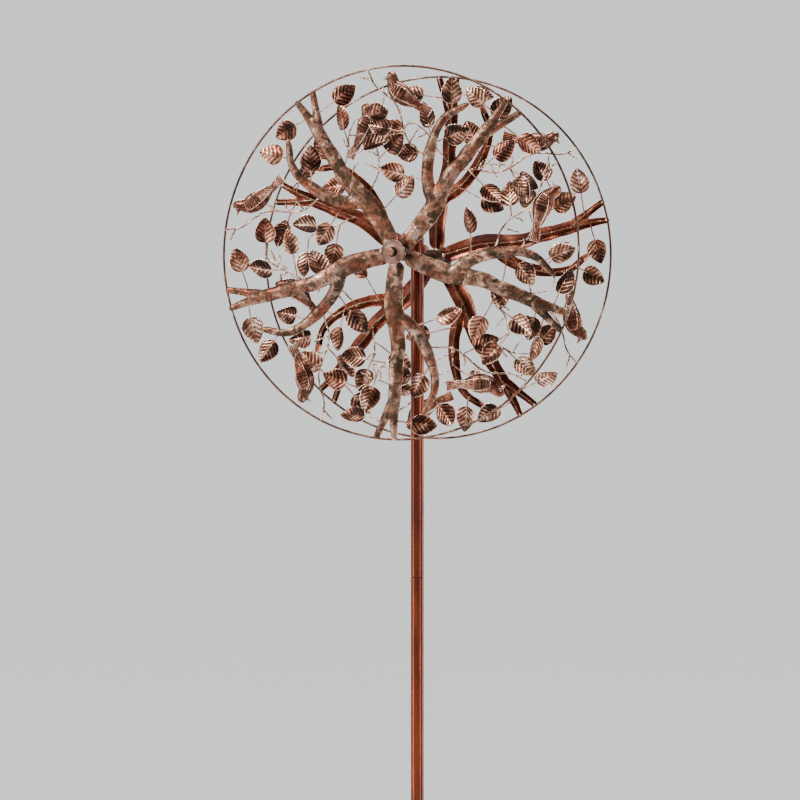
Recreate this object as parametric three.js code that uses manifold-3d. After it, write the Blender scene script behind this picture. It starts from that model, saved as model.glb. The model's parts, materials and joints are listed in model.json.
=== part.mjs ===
import * as THREE from "three";
import { mergeVertices } from "three/addons/utils/BufferGeometryUtils.js";
import Module from "manifold-3d";

// A kinetic wind sculpture: two rotors of leafy branches, each tied together by a wire ring, spin
// on one axle at the top of a garden pole. The two rotors are alike and stand back to back.
// Millimetres, +Z up. The origin is on the pole's axis at ground level, and the front rotor faces -Y.
// Inside a rotor, X is to the right seen from its front, Y goes from its front to its back, and
// Y = 0 is the plane of its ring.

const wasm = await Module();
wasm.setup();

// Driving dimensions
const GAP = 0.3; // between pieces that touch
const AXLE_HEIGHT = 1600;
const RING_RADIUS = 305;
const RING_WIRE_RADIUS = 2;
const RING_PLANE = 100.5; // distance of each ring from the pole's axis
const BRANCH_COUNT = 5;
const FRONT_FIRST_BRANCH = 48; // degrees, anticlockwise from +X seen from the rotor's front
const REAR_FIRST_BRANCH = 20;

const AXLE_RADIUS = 4;
const BARREL_RADIUS = 12.5;
const BARREL_FRONT = -26.5;
const BARREL_BACK = 28;
const BARREL_BORE = 9.5;
const BEARING_BORE = 4.4;
const BEARING_WIDTH = 8;
const DISC_RADIUS = 20;
const DISC_THICKNESS = 4;
const DISC_HOLE = 8;
const DISC_RIM = 1.6; // width and height of the raised rim
const DISC_SLOPE = 0.8; // how far the rim's foot slopes in
const NUT_RADIUS = 6.5;
const NUT_LENGTH = 18;
const NUT_SOCKET = 10;
const BEARING_INSET = 1; // how deep each bearing sits in the barrel

const POLE_RADIUS = 11;
const POLE_BORE = 9.6;
const POLE_SECTION = 533;
const POLE_TOP = AXLE_HEIGHT + 24;
const NECK_LENGTH = 50;
const NECK_WALL = 1.2;
const CAP_RADIUS = 11.6;
const CAP_HEIGHT = 9;
const SLEEVE_RADIUS = 6.5;
const WASHER_RADIUS = 11.5;
const WASHER_THICKNESS = 1.2;

const STAKE_SPAN = 200;
const STAKE_DEPTH = 230;
const STRAP_WIDTH = 20;
const STRAP_THICKNESS = 3;
const STRAP_BEND = 6;
const PRONG_POINT = 28; // length of the pointed end of a prong
const SOCKET_HEIGHT = 60;
const SOCKET_RADIUS = 13.5;

const SHEET_THICKNESS = 1.3;
const SHEET_BACK = -2.4; // depth of the back of a sheet, in front of the ring's plane
const RIB_HALF_WIDTH = 1.1;
const RIB_HALF_DEPTH = 2;
const TWIG_RADIUS = 1.3;
const ROOT_OVERLAP = 2; // how far a stem or twig starts behind the line of what it grows from
const STEM_HALF_WIDTH = 1.2;
const LEAF_LENGTH = 43;
const LEAF_HALF_WIDTH = 17;
const LEAF_SHOULDER = 15; // distance of a leaf's widest place from its base
const LEAF_THICKNESS = 1.2;
const TURNED_SIDES = 16;
const RING_SIDES = 50;
const RING_WIRE_SIDES = 6;

// One finish of each kind: colour, roughness, metalness
const FINISHES = {
  bark: [0x8a6452, 0.5, 0.8],
  leaf: [0x7d4b3c, 0.42, 0.85],
  bird: [0x96604c, 0.45, 0.8],
  wire: [0x5a4438, 0.4, 0.9],
  disc: [0xa87f74, 0.6, 0.6],
  dark: [0x3a2a26, 0.45, 0.8],
  pole: [0x7a3527, 0.25, 0.8],
  steel: [0xb9aa98, 0.35, 0.95],
  stake: [0x2e2a29, 0.6, 0.5],
};

// Geometry helpers

function piece(name, finish, geometry) {
  const [color, roughness, metalness] = FINISHES[finish];
  const mesh = new THREE.Mesh(geometry, new THREE.MeshStandardMaterial({ color, roughness, metalness }));
  mesh.name = name;
  return mesh;
}

function solid(geometry) {
  const bare = geometry.clone();
  bare.deleteAttribute("normal");
  bare.deleteAttribute("uv");
  const merged = mergeVertices(bare, 1e-4);
  const vertProperties = new Float32Array(merged.attributes.position.array);
  const triVerts = new Uint32Array(merged.index.array);
  return new wasm.Manifold(new wasm.Mesh({ numProp: 3, vertProperties, triVerts }));
}

function geometryOf(manifold) {
  const mesh = manifold.getMesh();
  const geometry = new THREE.BufferGeometry();
  geometry.setAttribute("position", new THREE.BufferAttribute(new Float32Array(mesh.vertProperties), 3));
  geometry.setIndex(new THREE.BufferAttribute(new Uint32Array(mesh.triVerts), 1));
  return geometry;
}

function joined(geometries) {
  return geometryOf(geometries.map(solid).reduce((sum, next) => sum.add(next)));
}

function polygon(points) {
  return new THREE.Shape(points.map(([x, y]) => new THREE.Vector2(x, y)));
}

function roundOutline(radius, sides) {
  const corners = Array.from({ length: sides }, (_, i) => (2 * Math.PI * i) / sides);
  return polygon(corners.map((angle) => [radius * Math.cos(angle), radius * Math.sin(angle)]));
}

// Turned about Y: profile points are [radius, y], listed with the material on their left.
function turned(profile, sides = TURNED_SIDES) {
  return new THREE.LatheGeometry(profile.map(([r, y]) => new THREE.Vector2(r, y)), sides);
}

function upright(geometry) {
  return geometry.rotateX(Math.PI / 2);
}

function tubeProfile(outer, bore, low, high) {
  return [[bore, low], [outer, low], [outer, high], [bore, high], [bore, low]];
}

function rod(points, radius, steps, sides = 4) {
  const path = new THREE.CatmullRomCurve3(points);
  return new THREE.ExtrudeGeometry(roundOutline(radius, sides), { steps, extrudePath: path });
}

// A strip along a curve in the rotor's plane. The section is [across, depth], with across from -1
// to 1 for the strip's half width, which is given at each of the curve's points.
function strip(points, halfWidths, section, steps) {
  const path = new THREE.CatmullRomCurve3(points);
  const geometry = new THREE.ExtrudeGeometry(polygon(section), { depth: 1, steps, bevelEnabled: false });
  const position = geometry.attributes.position;
  for (let i = 0; i < position.count; i += 1) {
    const t = position.getZ(i);
    const centre = path.getPoint(t);
    const along = path.getTangent(t);
    const across = position.getX(i) * widthAt(halfWidths, t);
    const x = centre.x + along.z * across;
    const z = centre.z - along.x * across;
    position.setXYZ(i, x, centre.y + position.getY(i), z);
  }
  return geometry;
}

function widthAt(halfWidths, t) {
  const place = t * (halfWidths.length - 1);
  const index = Math.min(Math.floor(place), halfWidths.length - 2);
  return RING_RADIUS * THREE.MathUtils.lerp(halfWidths[index], halfWidths[index + 1], place - index);
}

// Branch layout. A branch points along +Z of its own arm. Its points are fractions of the ring's
// radius, with x on the clockwise side, and depth is in millimetres.

function at(x, z, depth = 0) {
  return new THREE.Vector3(x * RING_RADIUS, depth, z * RING_RADIUS);
}

const RING_FLAT = 0.6; // how far the middles of the ring's straight sides lie inside its radius
const RING_INNER = 1 - (RING_WIRE_RADIUS + GAP + RING_FLAT) / RING_RADIUS;
const HUB_EDGE = (BARREL_RADIUS + 2 * GAP) / RING_RADIUS;

const TRUNK = [
  [0, 0.075, 0.036], [0, 0.11, 0.05], [0, 0.2, 0.05], [-0.01, 0.3, 0.052], [-0.035, 0.4, 0.045],
  [-0.055, 0.5, 0.042], [-0.055, 0.6, 0.04], [-0.06, 0.7, 0.037], [-0.065, 0.8, 0.036], [-0.06, 0.86, 0.034],
];
const SIDE_BRANCH = [
  [-0.045, 0.335, 0.026], [-0.1, 0.37, 0.036], [-0.17, 0.44, 0.034], [-0.22, 0.51, 0.031],
  [-0.26, 0.59, 0.027], [-0.28, 0.66, 0.024], [-0.28, 0.73, 0.021], [-0.25, 0.8, 0.018],
  [-0.235, 0.84, 0.01],
];
const LEFT_PRONG = [[-0.07, 0.82, 0.022], [-0.075, 0.92, 0.02], [-0.085, 1, 0.019]];
const RIGHT_PRONG = [[-0.045, 0.82, 0.022], [-0.012, 0.91, 0.021], [0.018, 1, 0.019]];

const SHEET_SECTION = [
  [-1, SHEET_BACK - SHEET_THICKNESS], [1, SHEET_BACK - SHEET_THICKNESS], [1, SHEET_BACK], [-1, SHEET_BACK],
];

function sheet(stations, steps) {
  const points = stations.map(([x, z]) => at(x, z));
  return strip(points, stations.map((station) => station[2]), SHEET_SECTION, steps);
}

function branchSheet() {
  return joined([sheet(TRUNK, 7), sheet(SIDE_BRANCH, 5), sheet(LEFT_PRONG, 1), sheet(RIGHT_PRONG, 2)]);
}

const RIB_SECTION = [
  [-1, -RIB_HALF_DEPTH], [1, -RIB_HALF_DEPTH], [1, RIB_HALF_DEPTH], [-1, RIB_HALF_DEPTH],
];

function rib(points, steps) {
  const halfWidth = RIB_HALF_WIDTH / RING_RADIUS;
  return strip(points.map(([x, z]) => at(x, z)), [halfWidth, halfWidth], RIB_SECTION, steps);
}

// Ribs follow the sheets' centre lines, from the hub out to the ring.
function ribs() {
  const trunk = [[0, HUB_EDGE], ...TRUNK.slice(1, 9)];
  const side = [[-0.012, 0.3], ...SIDE_BRANCH.slice(1, 8)];
  const left = [[-0.065, 0.79], [-0.075, 0.92], [-0.084, RING_INNER - 0.004]];
  const right = [[-0.065, 0.79], [-0.012, 0.91], [0.016, RING_INNER]];
  return [rib(trunk, 6), rib(side, 4), rib(left, 1), rib(right, 2)];
}

// A perch twig runs from the side branch to the ring, and a short one stands on the trunk.
const PERCH = [
  at(-0.205, 0.49), at(-0.3, 0.478, 1.5), at(-0.35, 0.477, 2.5), at(-0.415, 0.503, 2.5),
  at(-0.483, 0.551, 2.5), at(-0.547, 0.582, 2.5), at(-0.62, 0.585, 2.5), at(-0.705, 0.581, 1.5),
  at(-0.779, 0.609),
];
const TRUNK_TWIG = [at(-0.055, 0.53), at(0.04, 0.63), at(0.075, 0.69), at(0.15, 0.745)];

function twigs() {
  return [rod(PERCH, TWIG_RADIUS, 6), rod(TRUNK_TWIG, TWIG_RADIUS, 3)];
}

// Leaves: where the stem starts, the leaf's tip, and its tilt about its own midrib in degrees
const LEAVES = [
  { stem: at(-0.02, 0.88), tip: at(0.235, 0.912, 4), tilt: 14 },
  { stem: at(0.04, 0.63), tip: at(0.1, 0.865, -5), tilt: -14 },
  { stem: at(0.148, 0.744), tip: at(0.355, 0.685, -12), tilt: 12 },
  { stem: at(0, 0.59), tip: at(0.26, 0.575, -9), tilt: -12 },
  { stem: at(-0.245, 0.56), tip: at(-0.145, 0.765, 4), tilt: 12 },
  { stem: at(-0.074, 0.9), tip: at(-0.305, 0.9, 8), tilt: -14 },
  { stem: at(-0.272, 0.75), tip: at(-0.41, 0.89, 4), tilt: 14 },
  { stem: at(-0.412, 0.502, 2.5), tip: at(-0.593, 0.392, 14), tilt: 12 },
  { stem: at(-0.12, 0.388), tip: at(-0.385, 0.272, 5), tilt: -14 },
];

function leafOutline(stemLength) {
  return polygon([
    [-STEM_HALF_WIDTH, -ROOT_OVERLAP], [STEM_HALF_WIDTH, -ROOT_OVERLAP], [STEM_HALF_WIDTH, stemLength],
    [LEAF_HALF_WIDTH, stemLength + LEAF_SHOULDER], [0, stemLength + LEAF_LENGTH],
    [-LEAF_HALF_WIDTH, stemLength + LEAF_SHOULDER], [-STEM_HALF_WIDTH, stemLength],
  ]);
}

function leaf({ stem, tip, tilt }) {
  const along = tip.clone().sub(stem);
  const outline = leafOutline(along.length() - LEAF_LENGTH);
  along.normalize();
  const blade = new THREE.ExtrudeGeometry(outline, { depth: LEAF_THICKNESS, bevelEnabled: false });
  const across = new THREE.Vector3(0, -1, 0).cross(along).normalize();
  across.negate().applyAxisAngle(along, THREE.MathUtils.degToRad(tilt));
  const out = across.clone().cross(along);
  blade.translate(0, 0, -LEAF_THICKNESS / 2);
  blade.applyMatrix4(new THREE.Matrix4().makeBasis(across, along, out));
  return blade.translate(stem.x, stem.y, stem.z);
}

function sprig() {
  return joined([...ribs(), ...twigs(), ...LEAVES.map(leaf)]);
}

// A bird stands on the next arm's perch twig, with its head outwards. Its places are in millimetres
// from its body's centre.
const BIRD_CENTRE = at(0.445, 0.73, -11);
const BODY_RADII = [17, 9, 31];
const BODY_LEAN = THREE.MathUtils.degToRad(-18);
const HEAD_CENTRE = [1, 0, 28];
const HEAD_RADII = [12, 8.5, 11];
const BEAK_LENGTH = 15;
const BEAK_RADIUS = 3.5;
const BEAK_TURN = THREE.MathUtils.degToRad(70);
const BEAK_CENTRE = [-8, 0, 32];
const TAIL_OUTLINE = [[4, -24], [16, -20], [33, -53], [25, -57]];
const TAIL_THICKNESS = 4;
const LEGS = [new THREE.Vector3(0, 2, -18), new THREE.Vector3(-15, 11, -28)];

function ball(radii) {
  return new THREE.SphereGeometry(1, 6, 5).rotateX(Math.PI / 2).scale(...radii);
}

function beak() {
  const geometry = new THREE.ConeGeometry(BEAK_RADIUS, BEAK_LENGTH, 5);
  return geometry.rotateZ(BEAK_TURN).rotateX(Math.PI / 2).translate(...BEAK_CENTRE);
}

function tail() {
  const options = { depth: TAIL_THICKNESS, bevelEnabled: false };
  const geometry = new THREE.ExtrudeGeometry(polygon(TAIL_OUTLINE), options);
  return geometry.rotateX(Math.PI / 2).translate(0, TAIL_THICKNESS / 2, 0);
}

function bird() {
  const body = ball(BODY_RADII).rotateY(BODY_LEAN);
  const head = ball(HEAD_RADII).translate(...HEAD_CENTRE);
  const parts = [body, head, beak(), tail(), rod(LEGS, TWIG_RADIUS, 1)];
  return joined(parts).translate(...BIRD_CENTRE.toArray());
}

// Rotor

function ring() {
  const profile = Array.from({ length: RING_WIRE_SIDES + 1 }, (_, i) => {
    const angle = (2 * Math.PI * i) / RING_WIRE_SIDES;
    return [RING_RADIUS + RING_WIRE_RADIUS * Math.cos(angle), RING_WIRE_RADIUS * Math.sin(angle)];
  });
  return turned(profile, RING_SIDES);
}

function bearing(front) {
  return turned(tubeProfile(BARREL_BORE - GAP, BEARING_BORE, front, front + BEARING_WIDTH));
}

// A dished disc with a raised rim closes the front of the hub.
function faceDisc() {
  const back = BARREL_FRONT - GAP;
  const front = back - DISC_THICKNESS;
  const face = front + DISC_RIM;
  const rim = DISC_RADIUS - DISC_RIM;
  return turned([
    [DISC_HOLE, face], [rim - DISC_SLOPE, face], [rim, front], [DISC_RADIUS, front],
    [DISC_RADIUS, back], [DISC_HOLE, back], [DISC_HOLE, face],
  ]);
}

function arm(prefix, number) {
  const group = new THREE.Group();
  group.add(piece(`${prefix}_branch_sheet_${number}`, "bark", branchSheet()));
  group.add(piece(`${prefix}_leaf_sprig_${number}`, "leaf", sprig()));
  group.add(piece(`${prefix}_bird_${number}`, "bird", bird()));
  return group;
}

function rotor(prefix, firstBranch) {
  const group = new THREE.Group();
  const barrel = tubeProfile(BARREL_RADIUS, BARREL_BORE, BARREL_FRONT, BARREL_BACK);
  const innerBearing = bearing(BARREL_BACK - BEARING_WIDTH - BEARING_INSET);
  group.add(piece(`${prefix}_ring`, "wire", ring()));
  group.add(piece(`${prefix}_hub_barrel`, "dark", turned(barrel)));
  group.add(piece(`${prefix}_face_disc`, "disc", faceDisc()));
  group.add(piece(`${prefix}_outer_bearing`, "steel", bearing(BARREL_FRONT + BEARING_INSET)));
  group.add(piece(`${prefix}_inner_bearing`, "steel", innerBearing));
  for (let i = 0; i < BRANCH_COUNT; i += 1) {
    const angle = 90 - firstBranch - (360 / BRANCH_COUNT) * i;
    const branch = arm(prefix, i + 1);
    branch.rotation.y = THREE.MathUtils.degToRad(angle);
    group.add(branch);
  }
  return group;
}

// Axle parts, for the front; the rear ones are the same turned half a turn about Z

// A closed dome facing -Y, with a socket for the axle's end in its flat back.
function dome(radius, front, back, socket) {
  const rim = front + radius * 1.1;
  return [
    [0, front], [radius * 0.5, front + radius * 0.16], [radius * 0.87, front + radius * 0.55], [radius, rim],
    [radius, back], [AXLE_RADIUS + GAP, back], [AXLE_RADIUS + GAP, back - socket], [0, back - socket],
  ];
}

function axleSide(prefix) {
  const group = new THREE.Group();
  const discFace = -RING_PLANE + BARREL_FRONT - DISC_THICKNESS;
  const barrelBack = -RING_PLANE + BARREL_BACK;
  const nutBack = discFace - GAP;
  const nut = turned(dome(NUT_RADIUS, nutBack - NUT_LENGTH, nutBack, NUT_SOCKET));
  const washerBack = barrelBack + GAP + WASHER_THICKNESS;
  const washer = tubeProfile(WASHER_RADIUS, AXLE_RADIUS + GAP, barrelBack + GAP, washerBack);
  const sleeveFront = washerBack + GAP;
  const sleeve = tubeProfile(SLEEVE_RADIUS, AXLE_RADIUS + GAP, sleeveFront, -POLE_RADIUS - GAP);
  group.add(piece(`${prefix}_cap_nut`, "dark", nut));
  group.add(piece(`${prefix}_thrust_washer`, "steel", turned(washer)));
  group.add(piece(`${prefix}_axle_sleeve`, "steel", turned(sleeve)));
  return group;
}

function axle() {
  const end = RING_PLANE - BARREL_FRONT + DISC_THICKNESS + NUT_SOCKET - GAP;
  return turned([[0, -end], [AXLE_RADIUS, -end], [AXLE_RADIUS, end], [0, end]]);
}

// Pole: three tubes, each upper one with a neck that slips into the tube below

function poleTube(low, high) {
  return upright(turned(tubeProfile(POLE_RADIUS, POLE_BORE, low, high)));
}

function neckedTube(low, high) {
  const neckOuter = POLE_BORE - GAP;
  const neckBore = neckOuter - NECK_WALL;
  const shoulder = low + 8;
  return upright(turned([
    [neckBore, low - NECK_LENGTH], [neckOuter, low - NECK_LENGTH], [neckOuter, low], [POLE_RADIUS, low],
    [POLE_RADIUS, high], [POLE_BORE, high], [POLE_BORE, shoulder + 2], [neckBore, shoulder],
    [neckBore, low - NECK_LENGTH],
  ]));
}

function topTube(low) {
  const reach = 2 * POLE_RADIUS;
  const radius = AXLE_RADIUS + GAP;
  const hole = turned([[0, -reach], [radius, -reach], [radius, reach], [0, reach]]);
  hole.translate(0, 0, AXLE_HEIGHT);
  return geometryOf(solid(neckedTube(low, POLE_TOP)).subtract(solid(hole)));
}

function poleCap() {
  const base = POLE_TOP + GAP;
  return upright(turned([
    [0, base], [CAP_RADIUS, base], [CAP_RADIUS, base + CAP_HEIGHT * 0.33],
    [CAP_RADIUS * 0.69, base + CAP_HEIGHT * 0.83], [0, base + CAP_HEIGHT],
  ]));
}

// Ground stake: two crossed straps bent down into four pointed prongs, under a socket for the pole

function prongMask() {
  const halfWidth = STRAP_WIDTH / 2 + 1;
  const shoulder = PRONG_POINT - STAKE_DEPTH;
  const length = 1.1 * STAKE_SPAN;
  const pointed = polygon([
    [0, -STAKE_DEPTH], [halfWidth, shoulder], [halfWidth, SOCKET_HEIGHT], [-halfWidth, SOCKET_HEIGHT],
    [-halfWidth, shoulder],
  ]);
  const mask = new THREE.ExtrudeGeometry(pointed, { depth: length, bevelEnabled: false });
  return mask.translate(0, 0, -length / 2).rotateX(Math.PI / 2).rotateZ(Math.PI / 2);
}

function strap(rise) {
  const half = STAKE_SPAN / 2;
  const top = rise + STRAP_THICKNESS;
  const inside = half - STRAP_THICKNESS;
  const outline = polygon([
    [-half, -STAKE_DEPTH], [-half, top - STRAP_BEND], [-half + STRAP_BEND, top], [half - STRAP_BEND, top],
    [half, top - STRAP_BEND], [half, -STAKE_DEPTH], [inside, -STAKE_DEPTH], [inside, rise - STRAP_BEND],
    [inside - STRAP_BEND, rise], [-inside + STRAP_BEND, rise], [-inside, rise - STRAP_BEND],
    [-inside, -STAKE_DEPTH],
  ]);
  const bar = new THREE.ExtrudeGeometry(outline, { depth: STRAP_WIDTH, bevelEnabled: false });
  bar.rotateX(Math.PI / 2).translate(0, STRAP_WIDTH / 2, 0);
  return geometryOf(solid(bar).intersect(solid(prongMask())));
}

function stand() {
  const group = new THREE.Group();
  const strapTop = 2 * STRAP_THICKNESS + GAP;
  const poleBottom = strapTop + GAP;
  const crossStrap = strap(STRAP_THICKNESS + GAP).rotateZ(Math.PI / 2);
  const socket = tubeProfile(SOCKET_RADIUS, POLE_RADIUS + GAP, poleBottom, poleBottom + SOCKET_HEIGHT);
  group.add(piece("stake_strap_lower", "stake", strap(0)));
  group.add(piece("stake_strap_upper", "stake", crossStrap));
  group.add(piece("stake_socket", "stake", upright(turned(socket))));
  group.add(piece("pole_lower", "pole", poleTube(poleBottom, POLE_SECTION)));
  group.add(piece("pole_middle", "pole", neckedTube(POLE_SECTION + GAP, 2 * POLE_SECTION)));
  group.add(piece("pole_upper", "pole", topTube(2 * POLE_SECTION + GAP)));
  group.add(piece("pole_cap", "disc", poleCap()));
  const head = new THREE.Group();
  head.position.z = AXLE_HEIGHT;
  head.add(piece("axle", "steel", axle()));
  head.add(axleSide("front"));
  const rearSide = axleSide("rear");
  rearSide.rotation.z = Math.PI;
  head.add(rearSide);
  group.add(head);
  return group;
}

const sculpture = new THREE.Group();
sculpture.add(stand());
const frontRotor = rotor("front", FRONT_FIRST_BRANCH);
frontRotor.position.set(0, -RING_PLANE, AXLE_HEIGHT);
sculpture.add(frontRotor);
const rearRotor = rotor("rear", REAR_FIRST_BRANCH);
rearRotor.position.set(0, RING_PLANE, AXLE_HEIGHT);
rearRotor.rotation.z = Math.PI;
sculpture.add(rearRotor);

export default sculpture;
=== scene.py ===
import json
import math
import random

import bmesh
import bpy
import numpy as np
from mathutils import Matrix, Vector, noise


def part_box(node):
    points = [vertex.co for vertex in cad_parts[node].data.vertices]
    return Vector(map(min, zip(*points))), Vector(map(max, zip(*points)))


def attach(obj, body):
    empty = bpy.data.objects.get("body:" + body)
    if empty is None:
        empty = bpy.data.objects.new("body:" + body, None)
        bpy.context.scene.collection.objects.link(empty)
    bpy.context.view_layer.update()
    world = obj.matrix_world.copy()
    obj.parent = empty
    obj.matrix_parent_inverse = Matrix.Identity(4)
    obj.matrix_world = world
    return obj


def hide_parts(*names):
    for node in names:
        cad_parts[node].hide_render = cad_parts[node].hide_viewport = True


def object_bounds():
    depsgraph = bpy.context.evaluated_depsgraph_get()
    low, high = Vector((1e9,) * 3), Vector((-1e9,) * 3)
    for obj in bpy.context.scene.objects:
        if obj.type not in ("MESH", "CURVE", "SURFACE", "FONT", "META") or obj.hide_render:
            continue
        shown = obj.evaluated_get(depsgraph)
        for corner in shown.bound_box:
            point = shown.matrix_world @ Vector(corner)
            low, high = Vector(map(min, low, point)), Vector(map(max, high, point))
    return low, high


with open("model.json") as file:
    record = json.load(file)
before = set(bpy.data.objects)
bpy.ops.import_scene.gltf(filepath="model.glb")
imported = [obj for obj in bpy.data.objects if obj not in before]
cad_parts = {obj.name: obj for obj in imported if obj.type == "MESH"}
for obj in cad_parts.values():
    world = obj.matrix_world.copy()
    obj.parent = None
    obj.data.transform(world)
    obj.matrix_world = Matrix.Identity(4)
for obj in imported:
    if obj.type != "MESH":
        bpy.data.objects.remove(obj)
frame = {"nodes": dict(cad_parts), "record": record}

# Two rotors of leafy metal branches on one pole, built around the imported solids, in metres.
# A rotor's own axes: x to the right seen from its front, y from its front to its back, z up.
# An arm is one branch with what grows on it, and points along +z. Its places are fractions of the
# ring's radius, with x on the clockwise side, and depths in millimetres.

CAD_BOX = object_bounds()
JOINTS = {joint["name"]: joint for joint in frame["record"]["behaviour"]["joints"]}
CENTRES = {side: Vector(JOINTS[f"{side}_rotor_spin"]["pos_m"]) for side in ("front", "rear")}
AXLE_Z = CENTRES["front"].z
MM = 0.001
ARMS = 5
FIRST_BRANCH = {"front": 48.0, "rear": 20.0}  # degrees, anticlockwise from +x seen from the rotor's front

WIRE = 0.0019  # radius of the ring's wire
RING_INSET = 0.0026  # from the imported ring's outer edge to the wire's centre line
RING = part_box("front_ring")[1][2] - AXLE_Z - RING_INSET
RING_POINTS = 288
RING_WAVE = 0.25 * MM

SHEET_BACK = 2.4 * MM  # how far the back of a bark sheet's rim stands in front of the ring's plane
SHEET_THICKNESS = 1.2 * MM
CROWN = 3.8 * MM  # how far a bark sheet arches
OUTLINE_PITCH = 0.0062  # of the grid that the sheet is cut from
OUTLINE_WAVER = 0.16  # how far the outline wavers, as a share of the half width
MERGE = 9  # how sharply branches that meet run into one another
RIB_HALF_WIDTH = 1.1 * MM
RIB_BACK = 2.0 * MM  # how far the ribs reach behind the ring's plane
RIB_BEVEL = 0.35 * MM
TWIG = 1.45 * MM  # radius
TWIG_WANDER = 0.55  # in millimetres
LEAF_LENGTH = 43 * MM
LEAF_HALF_WIDTH = 17.3 * MM
LEAF_THICKNESS = 0.7 * MM
FEATHER_THICKNESS = 0.9 * MM
RIM_RUB_AND_HIGHLIGHT = 0.9  # how bright the edges of thin metal are painted, as rubbed metal and painted highlight

# Centre lines of an arm's branches, as x, z and half width
TRUNK = [
    (0, 0.094, 0.048), (0, 0.2, 0.05), (-0.01, 0.3, 0.052), (-0.035, 0.4, 0.045), (-0.055, 0.5, 0.042),
    (-0.055, 0.6, 0.04), (-0.06, 0.7, 0.037), (-0.065, 0.8, 0.036), (-0.06, 0.86, 0.03),
]
SIDE_BRANCH = [
    (-0.045, 0.335, 0.03), (-0.1, 0.37, 0.036), (-0.17, 0.44, 0.034), (-0.22, 0.51, 0.031),
    (-0.26, 0.59, 0.027), (-0.28, 0.66, 0.024), (-0.28, 0.73, 0.021), (-0.25, 0.8, 0.018),
    (-0.235, 0.84, 0.012),
]
LEFT_PRONG = [(-0.068, 0.82, 0.026), (-0.075, 0.92, 0.021), (-0.085, 0.988, 0.016)]
RIGHT_PRONG = [(-0.045, 0.82, 0.026), (-0.012, 0.91, 0.021), (0.015, 0.988, 0.016)]

# Centre lines of the twigs, as x, z and depth behind the ring's plane. The first carries the bird.
PERCH = [
    (-0.205, 0.49, 0), (-0.3, 0.478, 1.5), (-0.35, 0.477, 2.5), (-0.415, 0.503, 2.5), (-0.483, 0.551, 2.5),
    (-0.547, 0.582, 2.5), (-0.62, 0.585, 2.5), (-0.705, 0.581, 1.5), (-0.785, 0.614, 0),
]
TWIGS = [
    PERCH,
    [(-0.055, 0.53, 0), (0.04, 0.63, 0), (0.075, 0.69, 0), (0.15, 0.745, 0)],
    [(0.075, 0.69, 0), (0.11, 0.67, 1), (0.145, 0.66, 3)],
    [(-0.35, 0.477, 2.5), (-0.356, 0.525, 3), (-0.362, 0.57, 5)],
    [(-0.735, 0.592, 1), (-0.77, 0.57, 2), (-0.795, 0.555, 4)],
    [(-0.415, 0.503, 2.5), (-0.43, 0.54, 4), (-0.425, 0.565, 6)],
    [(0.04, 0.63, 0), (0.03, 0.66, 2), (0.035, 0.69, 4)],
    [(-0.272, 0.62, 0), (-0.32, 0.62, 2), (-0.345, 0.605, 4)],
]

# Where each leaf's stem starts, where its tip is, and its tilt about its midrib in degrees
LEAVES = [
    ((-0.02, 0.88, 0), (0.235, 0.912, 4), 14),
    ((0.04, 0.63, 0), (0.1, 0.865, -5), -14),
    ((0.148, 0.744, 0), (0.355, 0.685, -12), 12),
    ((0, 0.59, 0), (0.26, 0.575, -9), -12),
    ((-0.245, 0.56, 0), (-0.145, 0.765, 4), 12),
    ((-0.074, 0.9, 0), (-0.305, 0.9, 8), -14),
    ((-0.272, 0.75, 0), (-0.41, 0.89, 4), 14),
    ((-0.412, 0.502, 2.5), (-0.593, 0.392, 14), 12),
    ((-0.12, 0.388, 0), (-0.385, 0.272, 5), -14),
]

# Welds of the twigs, as x, z and depth behind the plane of the ring
TWIG_WELDS = [
    (-0.205, 0.49, 0), (-0.785, 0.614, 0), (-0.055, 0.53, 0), (-0.415, 0.503, 2.5), (0.04, 0.63, 0),
]

# Welds of the ribs, as x, z and radius in millimetres
RIB_WELDS = [
    (0, 0.045, 2.6), (-0.014, 0.303, 1.8), (-0.065, 0.79, 1.8), (-0.084, 0.99, 2.4), (0.016, 0.993, 2.4),
]

BIRD_CENTRE = (0.445, 0.73, -11)

# The bird's body along its back from the tail to the crown, as x, z, half width and half depth in
# millimetres from its centre
BIRD_BODY = [
    (15, -35, 3.5, 2.5), (11, -27, 8, 4.5), (6, -16, 13.5, 7.5), (1, -3, 16.3, 9), (-2, 9, 14.8, 9),
    (-2, 17, 11.6, 8), (-0.5, 23, 10, 7.8), (0.8, 29, 9.8, 7.8), (1.2, 34, 7.8, 6.4), (1, 37.3, 4.4, 3.8),
    (0.8, 38.6, 0.6, 0.6),
]
TAIL = [(10, -26, 0), (15, -35, 0), (22, -45, 0), (28, -55.5, 0)]
WING = [(-5, 14, 7.4), (-2, 5, 8.9), (5, -9, 8.2), (12, -24, 4.8), (19, -40, 1.8)]


# Curves and meshes

def place(x, z, depth=0.0):
    return Vector((x * RING, depth * MM, z * RING))


def spline(points, count):
    """Points along a Catmull-Rom curve through points of any dimension."""
    knots = np.array(points, dtype=float)
    knots = np.vstack([2 * knots[0] - knots[1], knots, 2 * knots[-1] - knots[-2]])
    spans = len(knots) - 3
    samples = []
    for t in np.linspace(0, spans, count):
        span = min(int(t), spans - 1)
        f = t - span
        a, b, c, d = knots[span:span + 4]
        samples.append(0.5 * (2 * b + (c - a) * f + (2 * a - 5 * b + 4 * c - d) * f ** 2
                              + (3 * b - a - 3 * c + d) * f ** 3))
    return np.array(samples)


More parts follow.
